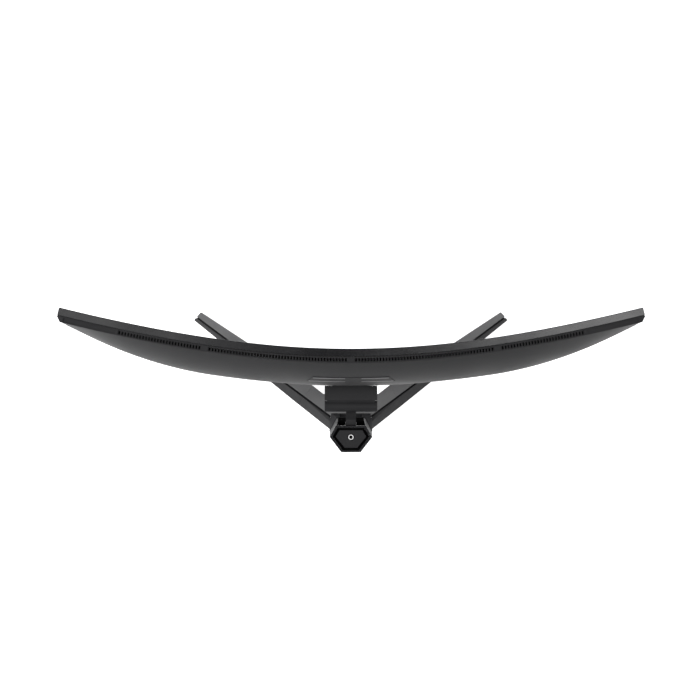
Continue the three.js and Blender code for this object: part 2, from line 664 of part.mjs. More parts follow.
function swivelParts() {
  const ring = bar('z', 24, HUB_TOP + GAP, 18.3, 0, COLUMN_Y, 32);
  piece('swivel_bearing', cut(ring, bar('z', 12, 10, 30, 0, COLUMN_Y, 32)), 'acetal');
  const pin = cut(bar('z', PIN_R, 8.4, 40, 0, COLUMN_Y), bar('z', 3.3, 0, 41, 0, COLUMN_Y, 16));
  piece('swivel_pin', pin, 'steel');
  const slot = box(-6, 6, COLUMN_Y - 0.9, COLUMN_Y + 0.9, 3, 4.6);
  const screw = join(bar('z', 9, 3.4, 7.8, 0, COLUMN_Y), bar('z', 3, 7.5, 36, 0, COLUMN_Y, 16));
  piece('base_screw', cut(screw, slot), 'steel');
}

function base() {
  piece('base_hub', baseHub(), 'plastic');
  piece('leg_right', leg(-1), 'legs');
  piece('leg_left', leg(1), 'legs');
  piece('leg_trim_right', legTrim(-1), 'plastic');
  piece('leg_trim_left', legTrim(1), 'plastic');
  swivelParts();
  piece('foot_left', bar('z', 4.6, 0, 2, 243.5, -99.6), 'rubber');
  piece('foot_right', bar('z', 4.6, 0, 2, -243.5, -99.6), 'rubber');
  piece('foot_rear', box(-26, 26, 91, 98, 0, 2), 'rubber');
}

// ---------------------------------------------------------------- assembly
function display() {
  panelStack();
  piece('middle_frame', middleFrame(), 'plasticSmooth');
  piece('rear_cover', rearCover(), 'plastic');
  piece('top_vent_grille', ventGrille(), 'plasticDark');
  boards();
  piece('speaker_left', speaker(), 'plasticDark', displayFrame(235));
  piece('speaker_right', speaker(), 'plasticDark', displayFrame(-235));
  controls();
  standPlates();
  hingeParts();
}

display();
carriage();
column();
base();

export default monitor;
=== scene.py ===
"""Looks of the curved monitor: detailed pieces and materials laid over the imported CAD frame."""

import json
import math

import bmesh
import bpy
from mathutils import Matrix, Vector


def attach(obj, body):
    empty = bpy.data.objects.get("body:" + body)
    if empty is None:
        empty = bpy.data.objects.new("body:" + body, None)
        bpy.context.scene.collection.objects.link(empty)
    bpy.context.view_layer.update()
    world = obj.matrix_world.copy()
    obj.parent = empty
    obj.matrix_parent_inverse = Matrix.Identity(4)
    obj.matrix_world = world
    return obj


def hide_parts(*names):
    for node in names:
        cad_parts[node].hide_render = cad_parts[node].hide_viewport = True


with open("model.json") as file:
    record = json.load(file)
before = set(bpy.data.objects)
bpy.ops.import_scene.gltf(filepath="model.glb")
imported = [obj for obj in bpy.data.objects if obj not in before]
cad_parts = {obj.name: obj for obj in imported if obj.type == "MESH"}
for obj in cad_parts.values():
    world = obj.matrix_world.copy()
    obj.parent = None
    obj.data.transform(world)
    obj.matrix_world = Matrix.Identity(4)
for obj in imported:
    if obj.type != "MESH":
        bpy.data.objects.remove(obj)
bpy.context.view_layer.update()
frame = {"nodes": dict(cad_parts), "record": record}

MM = 0.001
SIDES = ((1, "left"), (-1, "right"))

# Display, in millimetres: the same lines that the frame was drawn from.
HEAD_TOP = 539.0
HEAD_BOTTOM = 175.0
HEAD_HALF = 401.1
FRONT_Y = -38.4
CURVE_A = 152.6
CURVE_B = 427.0
FRAME_DEPTH = 11.0
FRAME_WALL = 4.6
COVER_WALL = 2.5
VENT_FROM = 12.7
VENT_TO = 18.5
VENT_HALF = 317.0
VENT_PITCH = 4.1
VENT_SLOT = 2.4
VENT_BAYS = ((5.0, 194.0), (204.0, VENT_HALF))
EDGE_DEPTH = 19.5
BULGE = 31.0
BULGE_FLAT = 190.0
BULGE_TAPER = 213.0
TOP_SLOPE = 90.0
BOTTOM_SLOPE = 80.0
COVER_EDGE = 1.0
SEAM = 0.5

# Openings in the rear cover, in straight frames square to the display.
BOARD_X = 130.0
SOCKET_POCKET = (-52, 52, 24, 70, 208, 258)
CONTROL_X = 300.0
CONTROL_POCKET = (-11.5, 11.5, 30, 60, 245.5, 334.5)
NECK_OPENING = (-58, 58, 0, 40, 282, 398)
SPEAKER_X = 235.0
SPEAKER_ROWS, SPEAKER_ROW_PITCH, SPEAKER_LOW = 4, 4.4, 186.5
SPEAKER_COLUMNS, SPEAKER_COLUMN_PITCH = 16, 5.2

# Column.
COLUMN_Y = 87.0
COLUMN_TOP = 395.0
CAP_PLATE_LOW, CAP_PLATE_TOP = 392.1, 394.4
CAP_BORE_RADIUS = 4.9
ROUND = 48


# ---------------------------------------------------------------- curved display
def front_line(x):
    return FRONT_Y - CURVE_A * (math.sqrt(1 + (x / CURVE_B) ** 2) - 1)


def front_slope(x):
    return -CURVE_A * x / (CURVE_B ** 2 * math.sqrt(1 + (x / CURVE_B) ** 2))


def behind(x, depth):
    """The point a distance behind the front line, measured square to it."""
    slope = front_slope(x)
    length = math.hypot(1, slope)
    return x - slope * depth / length, front_line(x) + depth / length


def display_matrix(x):
    """Local frame at x: its X runs along the display and its Y straight back out of it."""
    px, py = behind(x, 0)
    turn = Matrix.Rotation(math.atan(front_slope(x)), 4, "Z")
    return Matrix.Translation((px, py, 0)) @ turn


def run_out(share):
    return 1.0 if share >= 1 else 1 - (1 - max(share, 0.0)) ** 2.2


def rear_depth(x, z):
    """Depth of the rear cover's surface: fullest in the middle and thin along its edges."""
    side = max(0.0, abs(x) - BULGE_FLAT) / BULGE_TAPER
    top = run_out((HEAD_TOP - COVER_EDGE - z) / TOP_SLOPE)
    bottom = run_out((z - HEAD_BOTTOM - COVER_EDGE) / BOTTOM_SLOPE)
    full = EDGE_DEPTH + BULGE * (1 - side ** 2) * top * bottom
    return min(full, FRAME_DEPTH + 1.5 + 1.3 * max(0.0, HEAD_HALF - abs(x)))


def bend(bm):
    """Turns flat coordinates (x, depth, z) into places round the display."""
    for v in bm.verts:
        x, y = behind(v.co.x, v.co.y)
        v.co = (x, y, v.co.z)


# ---------------------------------------------------------------- materials
def noise(tree, coords, scale, detail, roughness=0.5):
    node = tree.nodes.new("ShaderNodeTexNoise")
    node.inputs["Scale"].default_value = scale
    node.inputs["Detail"].default_value = detail
    node.inputs["Roughness"].default_value = roughness
    tree.links.new(coords, node.inputs["Vector"])
    return node.outputs["Fac"]


def spread(tree, fac, low, high, from_low=0.3, from_high=0.7):
    node = tree.nodes.new("ShaderNodeMapRange")
    node.inputs["From Min"].default_value = from_low
    node.inputs["From Max"].default_value = from_high
    node.inputs["To Min"].default_value = low
    node.inputs["To Max"].default_value = high
    tree.links.new(fac, node.inputs["Value"])
    return node.outputs["Result"]


def blend_colour(tree, fac, a, b):
    node = tree.nodes.new("ShaderNodeMix")
    node.data_type = "RGBA"
    tree.links.new(fac, node.inputs["Factor"])
    for index, value in ((6, a), (7, b)):
        if isinstance(value, tuple):
            node.inputs[index].default_value = (*value, 1.0)
        else:
            tree.links.new(value, node.inputs[index])
    return node.outputs[2]


def surface(name, colour, rough, metal=0.0, grain=900.0, bump=0.12, wear=0.06, shine=0.5):
    """A moulded or metal finish: mottled colour, uneven roughness, fine grain and lighter worn edges."""
    mat = bpy.data.materials.new(name)
    mat.use_nodes = True
    tree = mat.node_tree
    shader = tree.nodes["Principled BSDF"]
    coords = tree.nodes.new("ShaderNodeTexCoord").outputs["Object"]
    blotch = noise(tree, coords, 18.0, 4.0)
    fine = noise(tree, coords, grain, 2.0, 0.6)
    darker = tuple(c * 0.86 for c in colour)
    lighter = tuple(min(1.0, c * 1.12) for c in colour)
    base = blend_colour(tree, spread(tree, blotch, 0.0, 1.0), darker, lighter)
    pointed = tree.nodes.new("ShaderNodeNewGeometry").outputs["Pointiness"]
    worn = spread(tree, pointed, 0.0, wear, 0.52, 0.62)
    edge = tuple(min(1.0, c * 2.0 + 0.05) for c in colour)
    tree.links.new(blend_colour(tree, worn, base, edge), shader.inputs["Base Color"])
    tree.links.new(spread(tree, blotch, rough - 0.05, rough + 0.05), shader.inputs["Roughness"])
    shader.inputs["Metallic"].default_value = metal
    bumps = tree.nodes.new("ShaderNodeBump")
    bumps.inputs["Strength"].default_value = bump
    bumps.inputs["Distance"].default_value = 0.0002
    tree.links.new(fine, bumps.inputs["Height"])
    tree.links.new(bumps.outputs["Normal"], shader.inputs["Normal"])
    shader.inputs["Specular IOR Level"].default_value = shine
    return mat


MATERIALS = {
    "rear_plastic": surface("rear_plastic", (0.019, 0.019, 0.020), 0.55, bump=0.25, shine=0.11),
    "frame_plastic": surface("frame_plastic", (0.006, 0.006, 0.007), 0.24, bump=0.08, shine=0.38),
    "column_plastic": surface("column_plastic", (0.012, 0.012, 0.013), 0.5, bump=0.18, shine=0.11),
    "dark_plastic": surface("dark_plastic", (0.009, 0.009, 0.010), 0.6, bump=0.2, shine=0.2),
    "button_plastic": surface("button_plastic", (0.015, 0.015, 0.016), 0.34, bump=0.08),
    "base_metal": surface("base_metal", (0.125, 0.125, 0.127), 0.46, 0.35, grain=1400.0, bump=0.10),
    "base_plastic": surface("base_plastic", (0.030, 0.030, 0.031), 0.45, bump=0.15, shine=0.22),
    "screen_glass": surface("screen_glass", (0.003, 0.003, 0.004), 0.22, bump=0.02, wear=0.0, shine=0.16),
    "optical_film": surface("optical_film", (0.72, 0.73, 0.74), 0.4, bump=0.02),
    "acrylic": surface("acrylic", (0.80, 0.82, 0.80), 0.12, bump=0.01),
    "led_board": surface("led_board", (0.70, 0.69, 0.62), 0.5),
    "sheet_steel": surface("sheet_steel", (0.36, 0.37, 0.38), 0.36, 1.0, bump=0.06),
    "machined_steel": surface("machined_steel", (0.55, 0.56, 0.57), 0.24, 1.0, bump=0.05),
    "cast_alloy": surface("cast_alloy", (0.020, 0.020, 0.021), 0.6, 0.1, grain=500.0, bump=0.3, shine=0.15),
    "circuit_board": surface("circuit_board", (0.012, 0.060, 0.026), 0.45, bump=0.1),
    "low_friction_plastic": surface("low_friction_plastic", (0.62, 0.61, 0.56), 0.5),
    "rubber": surface("rubber", (0.012, 0.012, 0.012), 0.8, bump=0.35),
}
TEXTURED = surface("cap_texture", (0.010, 0.010, 0.011), 0.5, grain=420.0, bump=0.9, shine=0.22)
# Matt black without shine; it also serves as painted shade on the column's front face, in the groove round
# the cap plate and in the tripod insert's bore.
MATT_BLACK = surface("matt_black", (0.003, 0.003, 0.003), 0.8, bump=0.1, wear=0.0, shine=0.0)
# Near-white half-metal ring: a painted highlight for the glint on the insert's chamfer.
GLINT_RING = surface("painted_glint_ring", (0.80, 0.80, 0.80), 0.5, 0.5, bump=0.02)
BRACKET_STEEL = surface("bracket_steel", (0.10, 0.10, 0.10), 0.5, 0.8, bump=0.08, shine=0.3)
# Lighter grey: painted highlights along the emblem bar's edges.
EMBLEM_HIGHLIGHT = surface("emblem_painted_highlight", (0.085, 0.085, 0.087), 0.35, bump=0.03)
MATRIX_BLACK = surface("matrix_black", (0.002, 0.002, 0.002), 0.3, bump=0.02, wear=0.0)


# ---------------------------------------------------------------- building pieces
def to_object(name, bm, scaled=True):
    if scaled:
        bmesh.ops.scale(bm, vec=(MM, MM, MM), verts=bm.verts)
    bmesh.ops.recalc_face_normals(bm, faces=bm.faces)
    mesh = bpy.data.meshes.new(name)
    bm.to_mesh(mesh)
    bm.free()
    made = bpy.data.objects.new(name, mesh)
    bpy.context.scene.collection.objects.link(made)
    return made


def add_piece(made, body, slot, *nodes, degrees=32.0, material=None):
    """Smooths a new piece, gives it its material and its body, and hides the nodes it stands for."""
    made.data.shade_smooth()
    made.data.set_sharp_from_angle(angle=math.radians(degrees))
    made.data.materials.clear()
    made.data.materials.append(material or MATERIALS[slot])
    normals = made.modifiers.new("normals", "WEIGHTED_NORMAL")
    normals.keep_sharp = True
    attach(made, body)
    if nodes:
        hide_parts(*nodes)


def sharp_edges(bm, degrees=25.0):
    limit = math.radians(degrees)
    return [e for e in bm.edges if len(e.link_faces) == 2 and e.calc_face_angle(0.0) > limit]


def round_edges(bm, width, steps=2, degrees=25.0):
    bmesh.ops.bevel(bm, geom=sharp_edges(bm, degrees), offset=width, segments=steps,
                    affect="EDGES", profile=0.5, clamp_overlap=True)


def slice_x(bm, places):
    """Cuts the mesh at each x, so that it can be bent."""
    for x in places:
        geom = bm.verts[:] + bm.edges[:] + bm.faces[:]
        bmesh.ops.bisect_plane(bm, geom=geom, dist=1e-4, plane_co=(x, 0, 0), plane_no=(1, 0, 0))


def stations(low, high, count):
    return [low + (high - low) * i / count for i in range(count + 1)]


def stitch(bm, a, b):
    """Faces between two closed loops of vertices."""
    for i in range(len(a)):
        j = (i + 1) % len(a)
        bm.faces.new((a[i], a[j], b[j], b[i]))


def circle(bm, radius, z, sides, centre=(0.0, 0.0)):
    angles = [2 * math.pi * i / sides for i in range(sides)]
    return [bm.verts.new((centre[0] + radius * math.cos(a), centre[1] + radius * math.sin(a), z))
            for a in angles]


def prism(plan, bottom, top):
    """An upright block over an outline in plan."""
    bm = bmesh.new()
    low = [bm.verts.new((x, y, bottom)) for x, y in plan]
    high = [bm.verts.new((x, y, top)) for x, y in plan]
    bm.faces.new(low)
    bm.faces.new(high)
    stitch(bm, low, high)
    return bm


def both_sides(right):
    """A symmetrical outline from its half with positive x."""
    return right + [(-x, y) for x, y in reversed(right)]


def block(bm, x0, x1, y0, y1, z0, z1):
    place = Matrix.Translation(((x0 + x1) / 2, (y0 + y1) / 2, (z0 + z1) / 2))
    size = Matrix.Diagonal((x1 - x0, y1 - y0, z1 - z0, 1))
    bmesh.ops.create_cube(bm, size=1.0, matrix=place @ size)


def lean_back(bm):
    """Turns flat coordinates (x, depth, z) into places on the column's front face, which leans."""
    for v in bm.verts:
        v.co.y += 64 + 6 * v.co.z / COLUMN_TOP


def bent_ring(outer, inner, d0, d1, width, place=bend):
    """A frame with rounded edges, bent round the display. Outer and inner are (half, low, high)."""
    bm = bmesh.new()
    rows = []
    for half, low, high in (outer, inner):
        for depth in (d0, d1):
            corners = [(-half, low), (half, low), (half, high), (-half, high)]
            rows.append([bm.verts.new((x, depth, z)) for x, z in corners])
    out_front, out_rear, in_front, in_rear = rows
    for a, b in ((out_front, out_rear), (out_rear, in_rear), (in_rear, in_front), (in_front, out_front)):
        stitch(bm, a, b)
    bmesh.ops.recalc_face_normals(bm, faces=bm.faces)
    round_edges(bm, width, 3)
    if place is bend:
        slice_x(bm, stations(-outer[0], outer[0], 80)[1:-1])
    place(bm)
    return bm


def boolean_cut(target, cutter):
    """Takes the cutter out of the target and removes the cutter."""
    modifier = target.modifiers.new("cut", "BOOLEAN")
    modifier.operation = "DIFFERENCE"
    modifier.solver = "EXACT"
    modifier.object = cutter
    bpy.context.view_layer.update()
    graph = bpy.context.evaluated_depsgraph_get()
    mesh = bpy.data.meshes.new_from_object(target.evaluated_get(graph))
    target.modifiers.clear()
    old = target.data
    target.data = mesh
    bpy.data.meshes.remove(old)
    bpy.data.objects.remove(cutter)


# ---------------------------------------------------------------- rear cover
def cover_grid(inset, columns, rows):
    """Closed block between the cover's front plane and its rear surface, in flat coordinates."""
    half = HEAD_HALF - inset
    low = HEAD_BOTTOM + COVER_EDGE + inset
    high = HEAD_TOP - COVER_EDGE - inset
    front = FRAME_DEPTH + SEAM - (2 if inset else 0)
    xs = [math.copysign(abs(t) ** 0.8, t) * half for t in stations(-1, 1, columns)]
    zs = [low + (high - low) * (t * 0.45 + 0.55 * (0.5 - 0.5 * math.cos(math.pi * t)))
          for t in stations(0, 1, rows)]
    bm = bmesh.new()
    near = [[bm.verts.new((x, front, z)) for z in zs] for x in xs]
    far = [[bm.verts.new((x, rear_depth(x, z) - inset, z)) for z in zs] for x in xs]
    close_sheets(bm, near, far)
    return bm


def close_sheets(bm, near, far):
    """Faces over two grids of vertices of one size, and between their edges."""
    columns, rows = len(near) - 1, len(near[0]) - 1
    for sheet in (near, far):
        for i in range(columns):
            for j in range(rows):
                bm.faces.new((sheet[i][j], sheet[i + 1][j], sheet[i + 1][j + 1], sheet[i][j + 1]))
    for i in range(columns):
        for j in (0, rows):
            bm.faces.new((near[i][j], near[i + 1][j], far[i + 1][j], far[i][j]))
    for j in range(rows):
        for i in (0, columns):
            bm.faces.new((near[i][j], near[i][j + 1], far[i][j + 1], far[i][j]))
    bmesh.ops.recalc_face_normals(bm, faces=bm.faces)


def flat_slab(bm, x0, x1, d0, d1, z0, z1, count):
    """A block in flat coordinates, cut along x so that it bends."""
    made = bmesh.new()
    block(made, x0, x1, d0, d1, z0, z1)
    slice_x(made, stations(x0, x1, count)[1:-1])
    bend(made)
    merge_into(bm, made)


def merge_into(bm, other, matrix=None):
    """Adds another mesh to this one and frees it."""
    if matrix is not None:
        bmesh.ops.transform(other, matrix=matrix, verts=other.verts)
    mesh = bpy.data.meshes.new("part")
    other.to_mesh(mesh)
    other.free()
    bm.from_mesh(mesh)
    bpy.data.meshes.remove(mesh)


def local_block(bm, at, size):
    """A straight block in the local frame of the display at x."""
    made = bmesh.new()
    block(made, *size)
    merge_into(bm, made, display_matrix(at))


def speaker_slots(bm, side):
    for row in range(SPEAKER_ROWS):
        for column in range(SPEAKER_COLUMNS):
            u = SPEAKER_X + SPEAKER_COLUMN_PITCH * (column - (SPEAKER_COLUMNS - 1) / 2)
            low = SPEAKER_LOW + SPEAKER_ROW_PITCH * row
            local_block(bm, side * u, (-1.6, 1.6, 10, 60, low, low + 2.0))


def cover_cutters():
    """All openings of the rear cover in one mesh."""
    bm = bmesh.new()
    for side in (1, -1):
        for start, end in VENT_BAYS:
            lo, hi = sorted((side * start, side * end))
            flat_slab(bm, lo, hi, VENT_FROM, VENT_TO, 534, HEAD_TOP + 1, 14)
        lo, hi = sorted((side * (VENT_HALF + 4), side * (HEAD_HALF - 9)))
        flat_slab(bm, lo, hi, VENT_FROM, VENT_TO, HEAD_TOP - 2, HEAD_TOP + 1, 8)
        local_block(bm, side * BOARD_X, SOCKET_POCKET)
        speaker_slots(bm, side)
    local_block(bm, CONTROL_X, CONTROL_POCKET)
    block(bm, *NECK_OPENING)
    return bm


def rear_cover():
    outer = cover_grid(0, 120, 56)
    round_edges(outer, 0.9, 2, 30)
    bend(outer)
    cover = to_object("rear_cover_moulding", outer)
    inner = cover_grid(COVER_WALL, 40, 22)
    bend(inner)
    boolean_cut(cover, to_object("cover_inside", inner))
    boolean_cut(cover, to_object("cover_openings", cover_cutters()))
    add_piece(cover, "display", "rear_plastic", "rear_cover", degrees=28)


def middle_frame():
    outer = (HEAD_HALF, HEAD_BOTTOM, HEAD_TOP)
    inner = (HEAD_HALF - FRAME_WALL, HEAD_BOTTOM + FRAME_WALL, HEAD_TOP - FRAME_WALL)
    made = to_object("middle_frame_moulding", bent_ring(outer, inner, 0, FRAME_DEPTH, 0.8))
    add_piece(made, "display", "frame_plastic", "middle_frame")


def inner_lip():
    """The lip inside the seam between the frame and the rear cover."""
    ring = bent_ring((395.6, 179.8, 532.8), (393.0, 182.2, 530.4), 9.7, 12.9, 0.3)
    add_piece(to_object("cover_inner_lip", ring), "display", "dark_plastic")


def screen():
    """The panel's glass, finely bent, with the dark border printed round its picture."""
    glass = bmesh.new()
    flat_slab(glass, -396.1, 396.1, 1.2, 2.8, 199.4, 534.0, 120)
    add_piece(to_object("screen_glass_sheet", glass), "display", "screen_glass", "lcd_panel")
    ring = bent_ring((395.9, 199.7, 533.8), (388.6, 206.4, 527.2), 1.0, 1.3, 0.05)
    add_piece(to_object("screen_border", ring), "display", "screen_glass", material=MATRIX_BLACK)


def cover_patch(name, left, right, low, high, lifts, width, slant=0.0):
    """A strip laid on the rear cover between two heights, with slanted ends."""
    bm = bmesh.new()
    sheets = []
    for lift in lifts:
        grid = []
        for u in stations(0, 1, 40):
            line = []
            for z in stations(low, high, 6):
                lean = slant * (z - low)
                x = (left + lean) + u * (right - left - 2 * lean)
                line.append(bm.verts.new((x, rear_depth(x, z) + lift, z)))
            grid.append(line)
        sheets.append(grid)
    close_sheets(bm, *sheets)
    round_edges(bm, width, 2, 30)
    bend(bm)
    return to_object(name, bm)


EMBLEM_LINES = (
    ("upper_left", 8, 51, 502.2), ("upper_right", -51, -14, 502.2),
    ("lower_left", 8, 57, 491.0), ("lower_right", -57, -14, 491.0),
)


def emblem():
    """A plain raised bar with four lighter lines along its upper and lower edges: painted highlights for
    light caught by the edges.
    """
    bar = cover_patch("rear_emblem_plate", -60, 60, 488, 505, (-0.6, 0.8), 0.6, 0.5)
    add_piece(bar, "display", "rear_plastic")
    for name, left, right, low in EMBLEM_LINES:
        line = cover_patch(f"rear_emblem_highlight_{name}", left, right, low, low + 1.4, (0.4, 1.25), 0.2)
        add_piece(line, "display", "frame_plastic", material=EMBLEM_HIGHLIGHT)


def seam_filler():
    """Dark gasket in the joint between the frame and the rear cover."""
    ring = bent_ring((400.3, 175.8, 538.2), (396.2, 179.9, 534.0), 10.9, 11.6, 0.05)
    add_piece(to_object("frame_seam_gasket", ring), "display", "dark_plastic")


def vent_bay(bm, side, start, end):
    """Ribs across one part of the vent, and a rail along each of its sides."""
    count = round((end - start) / VENT_PITCH)
    step = (end - start) / count
    half = 0.5 * (step - VENT_SLOT)
    for i in range(count + 1):
        middle = start + i * step
        lo, hi = max(start, middle - half), min(end, middle + half)
        rib = bmesh.new()
        block(rib, side * lo, side * hi, VENT_FROM + 0.4, VENT_TO - 0.4, 533.4, 537.2)
        bend(rib)
        merge_into(bm, rib)
    for d0, d1 in ((VENT_FROM - 0.3, VENT_FROM + 0.5), (VENT_TO - 0.5, VENT_TO + 0.1)):
        flat_slab(bm, *sorted((side * start, side * end)), d0, d1, 534.9, 537.3, 14)


def vent_grille():
    """The long vent in the top edge."""
    bm = bmesh.new()
    for side in (1, -1):
        for start, end in VENT_BAYS:
            vent_bay(bm, side, start, end)
    add_piece(to_object("vent_grille_ribs", bm), "display", "dark_plastic", "top_vent_grille",
              material=MATERIALS["rear_plastic"])


# ---------------------------------------------------------------- column
def column_front():
    """Matt black sheet on the column's front face, round the slot for the arm: painted shade standing in
    for the face's deep shadow.
    """
    ring = bent_ring((20.6, 37.0, 387.6), (8.4, 233.6, 378.4), -0.4, 0.2, 0.15, lean_back)
    add_piece(to_object("column_front_shade_sheet", ring), "column", "dark_plastic", material=MATT_BLACK)


def tube(name, outer, inner, low, high, width=0.12):
    """A short round tube standing on end on the column's axis."""
    bm = bmesh.new()
    corners = ((outer, low), (outer, high), (inner, high), (inner, low))
    rows = [circle(bm, radius, z, ROUND, (0, COLUMN_Y)) for radius, z in corners]
    for a, b in zip(rows, rows[1:] + rows[:1]):
        stitch(bm, a, b)
    bmesh.ops.recalc_face_normals(bm, faces=bm.faces)
    round_edges(bm, width, 2, 40)
    return to_object(name, bm)


def tripod_rings():
    """The insert in the column's top: a near-white ring, a painted highlight for the glint on its chamfer,
    and its thread in matt black, painted shade down the bore.
    """
    collar = tube("tripod_collar", 3.75, 2.7, 393.6, 394.8)
    add_piece(collar, "column", "machined_steel", material=GLINT_RING)
    for i in range(5):
        low = 388.2 + 1.1 * i
        # Matt black thread rings: painted shade down the insert's bore.
        thread = tube(f"tripod_thread_{i + 1}", 3.25, 2.55, low, low + 0.7, 0.25)
        add_piece(thread, "column", "machined_steel", material=MATT_BLACK)


def cap_plate():
    """The textured plate in the column's top, with its bore for the threaded insert."""
    right = [(16.6, 76.9), (22.2, 86.1), (9.1, 102.4)]
    plan = right + [(-x, y) for x, y in right]
    points = raised(plan, [CAP_PLATE_TOP] * len(plan), CAP_PLATE_LOW)
    plate = hull_object("cap_plate_moulding", points, 0.25)
    cutter = bmesh.new()
    place = Matrix.Translation((0, COLUMN_Y, 393))
    bmesh.ops.create_cone(cutter, cap_ends=True, segments=ROUND, radius1=CAP_BORE_RADIUS,
                          radius2=CAP_BORE_RADIUS, depth=10, matrix=place)
    boolean_cut(plate, to_object("cap_plate_bore", cutter))
    add_piece(plate, "column", "column_plastic", "cap_plate", material=TEXTURED)


def cap_groove():
    """Matt black sheet on the floor of the groove round the column's top plate: painted shade for the
    groove.
    """
    plan = both_sides([(19.0, 73.9), (26.2, 86.2), (11.2, 105.5)])
    bm = prism(plan, 391.85, 392.05)
    add_piece(to_object("cap_groove_shade_sheet", bm), "column", "dark_plastic", material=MATT_BLACK)


# ---------------------------------------------------------------- base
TIP_INNER, TIP_RIDGE, TIP_OUTER = (251.0, -112.0), (258.5, -103.5), (263.0, -98.5)
HUB_INNER, HUB_RIDGE, HUB_OUTER = (63.5, 11.3), (77.8, 30.4), (87.3, 43.0)
RIDGE_END, RIDGE_REAR = (33.8, 63.0), (13.5, 90.5)
TAIL_FRONT, TAIL_REAR = (0.15, 100.5), (0.15, 111.9)
GROOVE = 1.5
BASE_BOTTOM = 2.3
HUB_TOP = 17.0
SLOPE_TOP = 16.2
SLOPE_EDGE = 6
# Bottom of the dark strips that paint the shade in the grooves.
SHADE_STRIP_BOTTOM = 3.0


def shift(point, amount):
    """Moves a plan point square to the leg, outwards for a positive amount."""
    return point[0] + 0.6 * amount, point[1] + 0.8 * amount


def hull_object(name, points, width):
    """A convex block round some points, with rounded edges."""
    bm = bmesh.new()
    for point in points:
        bm.verts.new(point)
    made = bmesh.ops.convex_hull(bm, input=bm.verts)
    spare = [v for v in made["geom_interior"] if isinstance(v, bmesh.types.BMVert)]
    bmesh.ops.delete(bm, geom=spare, context="VERTS")
    bmesh.ops.dissolve_limit(bm, angle_limit=math.radians(1), verts=bm.verts, edges=bm.edges)
    round_edges(bm, width, 3)
    return to_object(name, bm)


def raised(plan, tops, bottom=BASE_BOTTOM):
    """The corners of a block over an outline in plan, with a height for each top corner."""
    return [(x, y, bottom) for x, y in plan] + [(x, y, z) for (x, y), z in zip(plan, tops)]


def sided(points, side):
    return [(side * x, y, z) for x, y, z in points]


def leg_pieces(side, label):
    """One leg: its flat top, the slope behind it and a dark strip sunk between them; the groove is real,
    its shadow is painted shade in the strip's dark colour.
    """
    flat = [TIP_INNER, shift(TIP_RIDGE, -GROOVE), shift(HUB_RIDGE, -GROOVE), HUB_INNER]
    tops = (13, 13, HUB_TOP, HUB_TOP)
    leg = hull_object(f"leg_{label}_casting", sided(raised(flat, tops), side), 0.5)
    add_piece(leg, "base", "base_metal", f"leg_{label}")
    slope = [shift(TIP_RIDGE, GROOVE), shift(HUB_RIDGE, GROOVE), HUB_OUTER, TIP_OUTER]
    tops = (12.2, SLOPE_TOP, SLOPE_EDGE, 7)
    trim = hull_object(f"leg_trim_{label}_moulding", sided(raised(slope, tops), side), 0.45)
    add_piece(trim, "base", "base_plastic", f"leg_trim_{label}")
    # Dark strip in the groove: painted shade for the groove's shadow.
    line = [shift(TIP_RIDGE, -3), shift(HUB_RIDGE, -3), shift(HUB_RIDGE, 3), shift(TIP_RIDGE, 3)]
    at_tip = (0, 3)
    inside = [(x - 1.2, y + 0.9) if i in at_tip else (x, y) for i, (x, y) in enumerate(line)]
    points = raised(inside, (10.6, 13.6, 12.2, 9.4), SHADE_STRIP_BOTTOM)
    add_piece(hull_object(f"leg_groove_shade_{label}", sided(points, side), 0.2), "base", "dark_plastic")


def hub_slope(side, label):
    """The sloping side of the hub and a dark strip sunk along its upper edge; the groove is real, its
    shadow is painted shade in the strip's dark colour.
    """
    slope = [shift(HUB_RIDGE, GROOVE), shift(RIDGE_END, GROOVE)]
    slope += [RIDGE_REAR, TAIL_FRONT, TAIL_REAR, HUB_OUTER]
    tops = (SLOPE_TOP, SLOPE_TOP, SLOPE_TOP, 14, SLOPE_EDGE, SLOPE_EDGE)
    made = hull_object(f"hub_slope_{label}", sided(raised(slope, tops), side), 0.45)
    add_piece(made, "base", "base_plastic", "base_hub")
    # Dark strip in the groove: painted shade for the groove's shadow.
    line = [shift(HUB_RIDGE, -3), shift(RIDGE_END, -3), shift(RIDGE_END, 3), shift(HUB_RIDGE, 3)]
    points = raised(line, (14, 14, 13, 13), SHADE_STRIP_BOTTOM)
    add_piece(hull_object(f"hub_groove_shade_{label}", sided(points, side), 0.2), "base", "dark_plastic")


def hub_pieces():
    flat = [(20, 32), (46.3, 24.7), HUB_INNER, shift(HUB_RIDGE, -GROOVE), shift(RIDGE_END, -GROOVE),
            (12.0, 88.5), (1.2, 97.0)]
    bm = prism(both_sides(flat), BASE_BOTTOM, HUB_TOP)
    bmesh.ops.recalc_face_normals(bm, faces=bm.faces)
    round_edges(bm, 0.5, 3, 28)
    add_piece(to_object("base_hub_casting", bm), "base", "base_metal", "base_hub")
    for side, label in SIDES:
        hub_slope(side, label)


def rear_foot():
    """The rubber pad under the hub's rear, narrow enough to stay under the slopes."""
    plan = both_sides([(25.4, 91.0), (17.0, 98.0)])
    pad = hull_object("foot_rear_pad", raised(plan, [2] * len(plan), 0.0), 0.4)
    add_piece(pad, "base", "rubber", "foot_rear")


